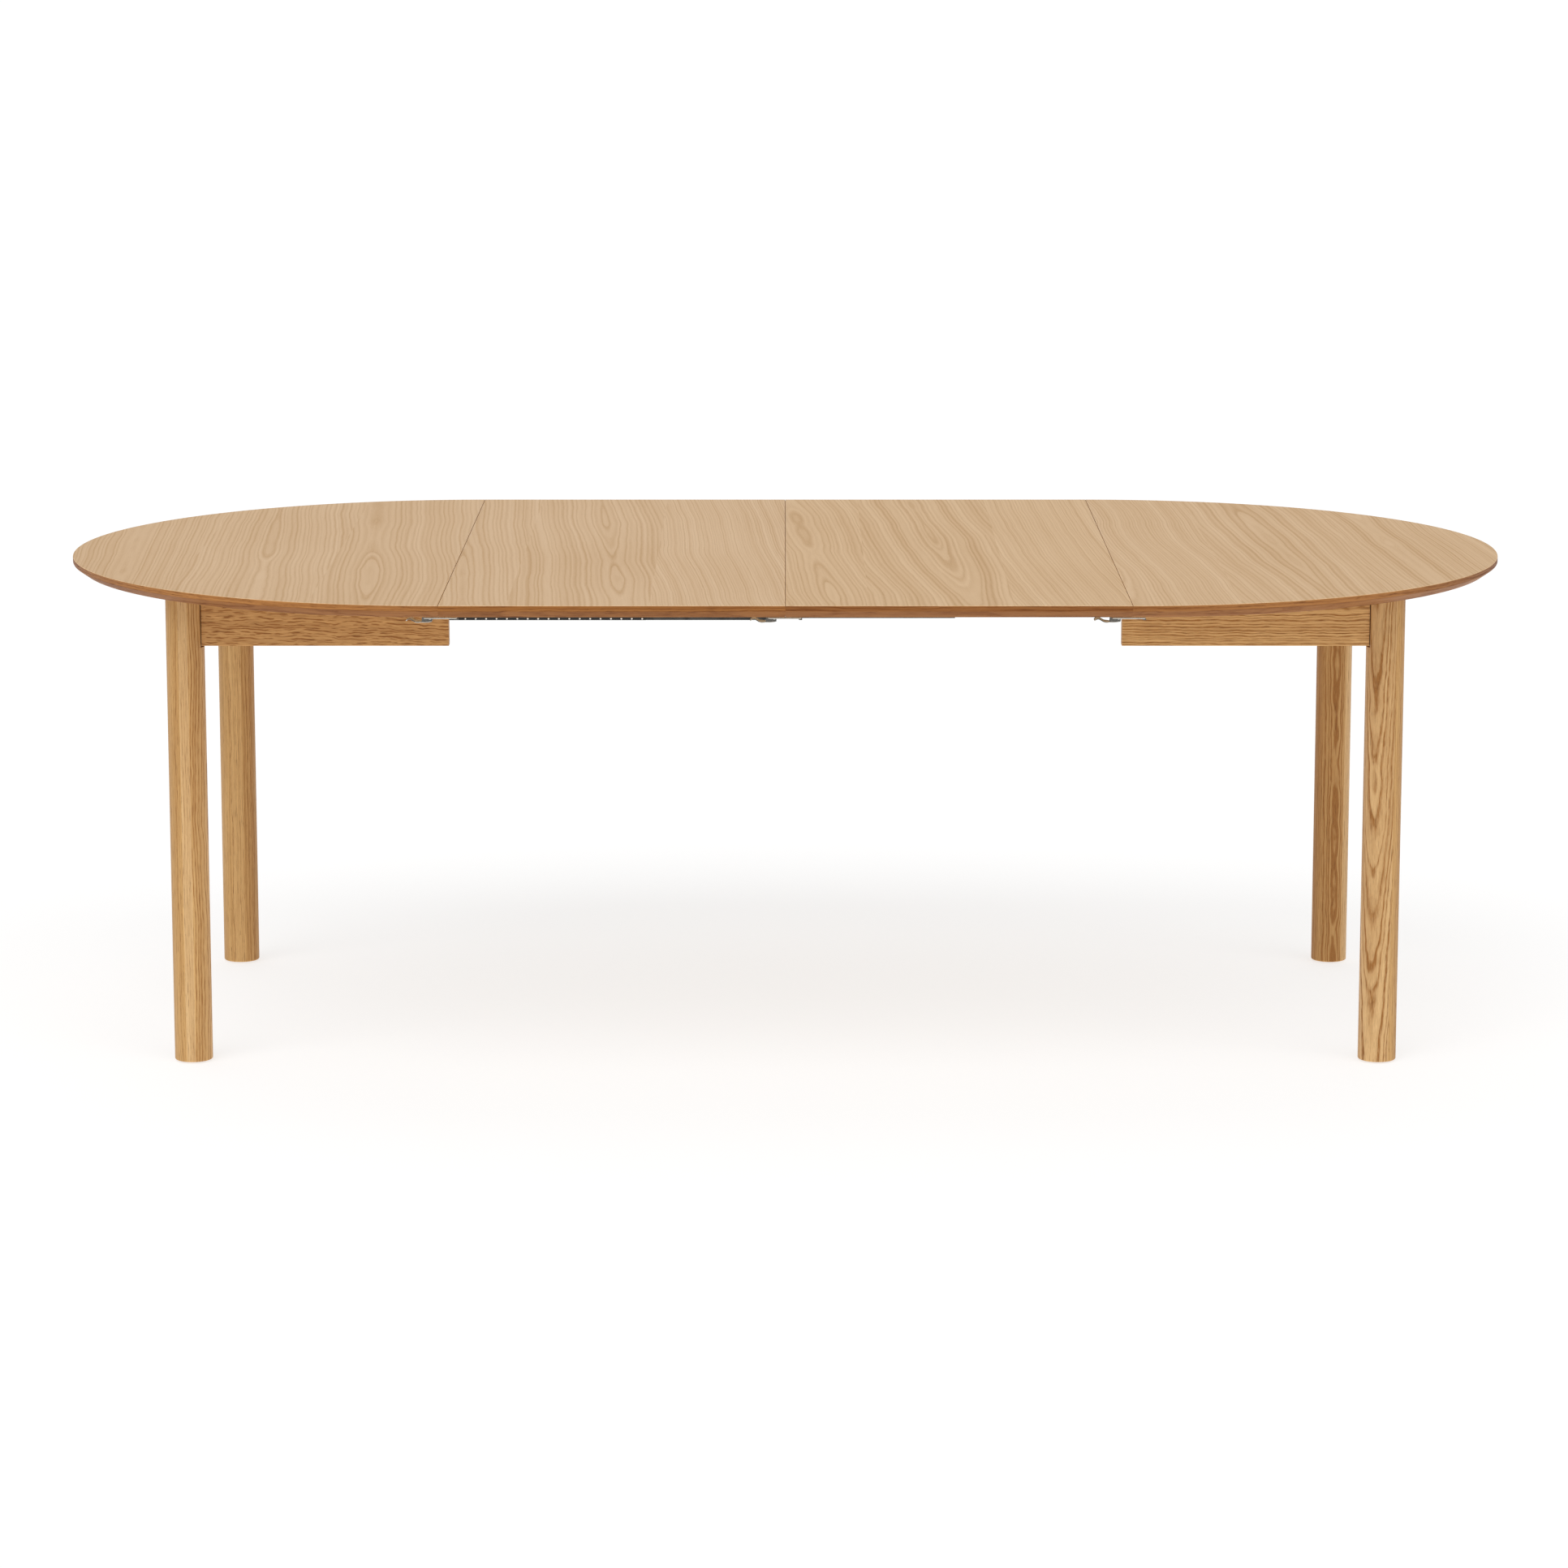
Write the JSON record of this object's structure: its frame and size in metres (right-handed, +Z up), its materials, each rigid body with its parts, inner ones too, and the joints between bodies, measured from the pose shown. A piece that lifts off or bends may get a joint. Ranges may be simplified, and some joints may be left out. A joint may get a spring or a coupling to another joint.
{
  "type": "extendable dining table",
  "caption": "Extendable oak dining table with half-round ends, round legs, lift-out leaves, telescopic ball slides under the top and toggle latches at the seams.",
  "frame": {"origin": "on the floor, under the middle of the extended table", "axes": "+X to the right half, along the table's length; +Y to the back; +Z up"},
  "size_m": [2.2, 1.2, 0.73],
  "materials": {
    "oak_veneer": "matt lacquered oak veneer with a solid oak edge",
    "oak_solid": "matt lacquered solid oak, glued from staves",
    "slide_steel": "black coated rolled steel",
    "black_plastic": "moulded black plastic",
    "bracket_steel": "zinc plated pressed steel",
    "nickel": "bright nickel plate",
    "glide_felt": "pressed brown felt"
  },
  "bodies": {
    "left_half": {"corner_bracket_back_left": "bracket_steel", "corner_bracket_front_left": "bracket_steel", "end_rail_left": "oak_solid", "glide_back_left": "glide_felt", "glide_front_left": "glide_felt", "latch_back_left_base": "nickel", "latch_front_left_base": "nickel", "leg_back_left": "oak_solid", "leg_front_left": "oak_solid", "rail_back_left": "oak_solid", "rail_front_left": "oak_solid", "slide_back_left_rail": "slide_steel", "slide_front_left_rail": "slide_steel", "tabletop_left": "oak_veneer"},
    "right_half": {"corner_bracket_back_right": "bracket_steel", "corner_bracket_front_right": "bracket_steel", "end_rail_right": "oak_solid", "glide_back_right": "glide_felt", "glide_front_right": "glide_felt", "latch_back_right_strike": "nickel", "latch_front_right_strike": "nickel", "leg_back_right": "oak_solid", "leg_front_right": "oak_solid", "rail_back_right": "oak_solid", "rail_front_right": "oak_solid", "slide_back_right_rail": "slide_steel", "slide_front_right_rail": "slide_steel", "tabletop_right": "oak_veneer"},
    "leaf_left": {"latch_back_left_strike": "nickel", "latch_back_middle_base": "nickel", "latch_front_left_strike": "nickel", "latch_front_middle_base": "nickel", "leaf_left": "oak_veneer"},
    "leaf_right": {"latch_back_middle_strike": "nickel", "latch_back_right_base": "nickel", "latch_front_middle_strike": "nickel", "latch_front_right_base": "nickel", "leaf_right": "oak_veneer"},
    "first_stage": {"slide_back_first_stage": "slide_steel", "slide_front_first_stage": "slide_steel"},
    "second_stage": {"slide_back_second_stage": "slide_steel", "slide_front_second_stage": "slide_steel"},
    "cage_left": {"ball_cage_back_left": "black_plastic", "ball_cage_front_left": "black_plastic"},
    "cage_middle": {"ball_cage_back_middle": "black_plastic", "ball_cage_front_middle": "black_plastic"},
    "cage_right": {"ball_cage_back_right": "black_plastic", "ball_cage_front_right": "black_plastic"},
    "bail_back_left": {"latch_back_left_bail": "nickel"},
    "lever_back_left": {"latch_back_left_lever": "nickel"},
    "bail_back_middle": {"latch_back_middle_bail": "nickel"},
    "lever_back_middle": {"latch_back_middle_lever": "nickel"},
    "bail_back_right": {"latch_back_right_bail": "nickel"},
    "lever_back_right": {"latch_back_right_lever": "nickel"},
    "bail_front_left": {"latch_front_left_bail": "nickel"},
    "lever_front_left": {"latch_front_left_lever": "nickel"},
    "bail_front_middle": {"latch_front_middle_bail": "nickel"},
    "lever_front_middle": {"latch_front_middle_lever": "nickel"},
    "bail_front_right": {"latch_front_right_bail": "nickel"},
    "lever_front_right": {"latch_front_right_lever": "nickel"}
  },
  "joints": [
    {"name": "extension", "type": "slide", "parent": "left_half", "child": "right_half", "axis": [1, 0, 0], "range_m": [-1, 0]},
    {"name": "first_stage_run", "type": "slide", "parent": "left_half", "child": "first_stage", "axis": [1, 0, 0], "range_m": [-0.12, 0]},
    {"name": "second_stage_run", "type": "slide", "parent": "left_half", "child": "second_stage", "axis": [1, 0, 0], "range_m": [-0.41, 0]},
    {"name": "cage_left_run", "type": "slide", "parent": "left_half", "child": "cage_left", "axis": [1, 0, 0], "range_m": [-0.06, 0]},
    {"name": "cage_middle_run", "type": "slide", "parent": "left_half", "child": "cage_middle", "axis": [1, 0, 0], "range_m": [-0.265, 0]},
    {"name": "cage_right_run", "type": "slide", "parent": "left_half", "child": "cage_right", "axis": [1, 0, 0], "range_m": [-0.705, 0]},
    {"name": "leaf_left_lift_out", "type": "slide", "parent": "left_half", "child": "leaf_left", "axis": [-0.8, 0, 0.6], "range_m": [0, 0.625]},
    {"name": "leaf_right_lift_out", "type": "slide", "parent": "left_half", "child": "leaf_right", "axis": [-0.8, 0, 0.6], "range_m": [0, 0.625]},
    {"name": "lever_front_left_swing", "type": "hinge", "parent": "left_half", "child": "lever_front_left", "pos_m": [-0.516, -0.52, 0.7015], "axis": [0, -1, 0], "range_deg": [0, 75]},
    {"name": "bail_front_left_swing", "type": "hinge", "parent": "lever_front_left", "child": "bail_front_left", "pos_m": [-0.525, -0.52, 0.7017], "axis": [0, -1, 0], "range_deg": [-63, 0]},
    {"name": "lever_front_middle_swing", "type": "hinge", "parent": "leaf_left", "child": "lever_front_middle", "pos_m": [-0.016, -0.52, 0.7015], "axis": [0, -1, 0], "range_deg": [0, 75]},
    {"name": "bail_front_middle_swing", "type": "hinge", "parent": "lever_front_middle", "child": "bail_front_middle", "pos_m": [-0.025, -0.52, 0.7017], "axis": [0, -1, 0], "range_deg": [-63, 0]},
    {"name": "lever_front_right_swing", "type": "hinge", "parent": "leaf_right", "child": "lever_front_right", "pos_m": [0.484, -0.52, 0.7015], "axis": [0, -1, 0], "range_deg": [0, 75]},
    {"name": "bail_front_right_swing", "type": "hinge", "parent": "lever_front_right", "child": "bail_front_right", "pos_m": [0.475, -0.52, 0.7017], "axis": [0, -1, 0], "range_deg": [-63, 0]},
    {"name": "lever_back_left_swing", "type": "hinge", "parent": "left_half", "child": "lever_back_left", "pos_m": [-0.516, 0.52, 0.7015], "axis": [0, -1, 0], "range_deg": [0, 75]},
    {"name": "bail_back_left_swing", "type": "hinge", "parent": "lever_back_left", "child": "bail_back_left", "pos_m": [-0.525, 0.52, 0.7017], "axis": [0, -1, 0], "range_deg": [-63, 0]},
    {"name": "lever_back_middle_swing", "type": "hinge", "parent": "leaf_left", "child": "lever_back_middle", "pos_m": [-0.016, 0.52, 0.7015], "axis": [0, -1, 0], "range_deg": [0, 75]},
    {"name": "bail_back_middle_swing", "type": "hinge", "parent": "lever_back_middle", "child": "bail_back_middle", "pos_m": [-0.025, 0.52, 0.7017], "axis": [0, -1, 0], "range_deg": [-63, 0]},
    {"name": "lever_back_right_swing", "type": "hinge", "parent": "leaf_right", "child": "lever_back_right", "pos_m": [0.484, 0.52, 0.7015], "axis": [0, -1, 0], "range_deg": [0, 75]},
    {"name": "bail_back_right_swing", "type": "hinge", "parent": "lever_back_right", "child": "bail_back_right", "pos_m": [0.475, 0.52, 0.7017], "axis": [0, -1, 0], "range_deg": [-63, 0]}
  ],
  "couplings": [
    {"joint": "first_stage_run", "follows": "extension", "ratio": 0.12},
    {"joint": "second_stage_run", "follows": "extension", "ratio": 0.41},
    {"joint": "cage_left_run", "follows": "extension", "ratio": 0.06},
    {"joint": "cage_middle_run", "follows": "extension", "ratio": 0.265},
    {"joint": "cage_right_run", "follows": "extension", "ratio": 0.705},
    {"joint": "leaf_left_lift_out", "follows": "extension", "ratio": -0.625},
    {"joint": "leaf_right_lift_out", "follows": "extension", "ratio": -0.625},
    {"joint": "bail_front_left_swing", "follows": "lever_front_left_swing", "ratio": -0.835},
    {"joint": "bail_front_middle_swing", "follows": "lever_front_middle_swing", "ratio": -0.835},
    {"joint": "bail_front_right_swing", "follows": "lever_front_right_swing", "ratio": -0.835},
    {"joint": "bail_back_left_swing", "follows": "lever_back_left_swing", "ratio": -0.835},
    {"joint": "bail_back_middle_swing", "follows": "lever_back_middle_swing", "ratio": -0.835},
    {"joint": "bail_back_right_swing", "follows": "lever_back_right_swing", "ratio": -0.835}
  ]
}
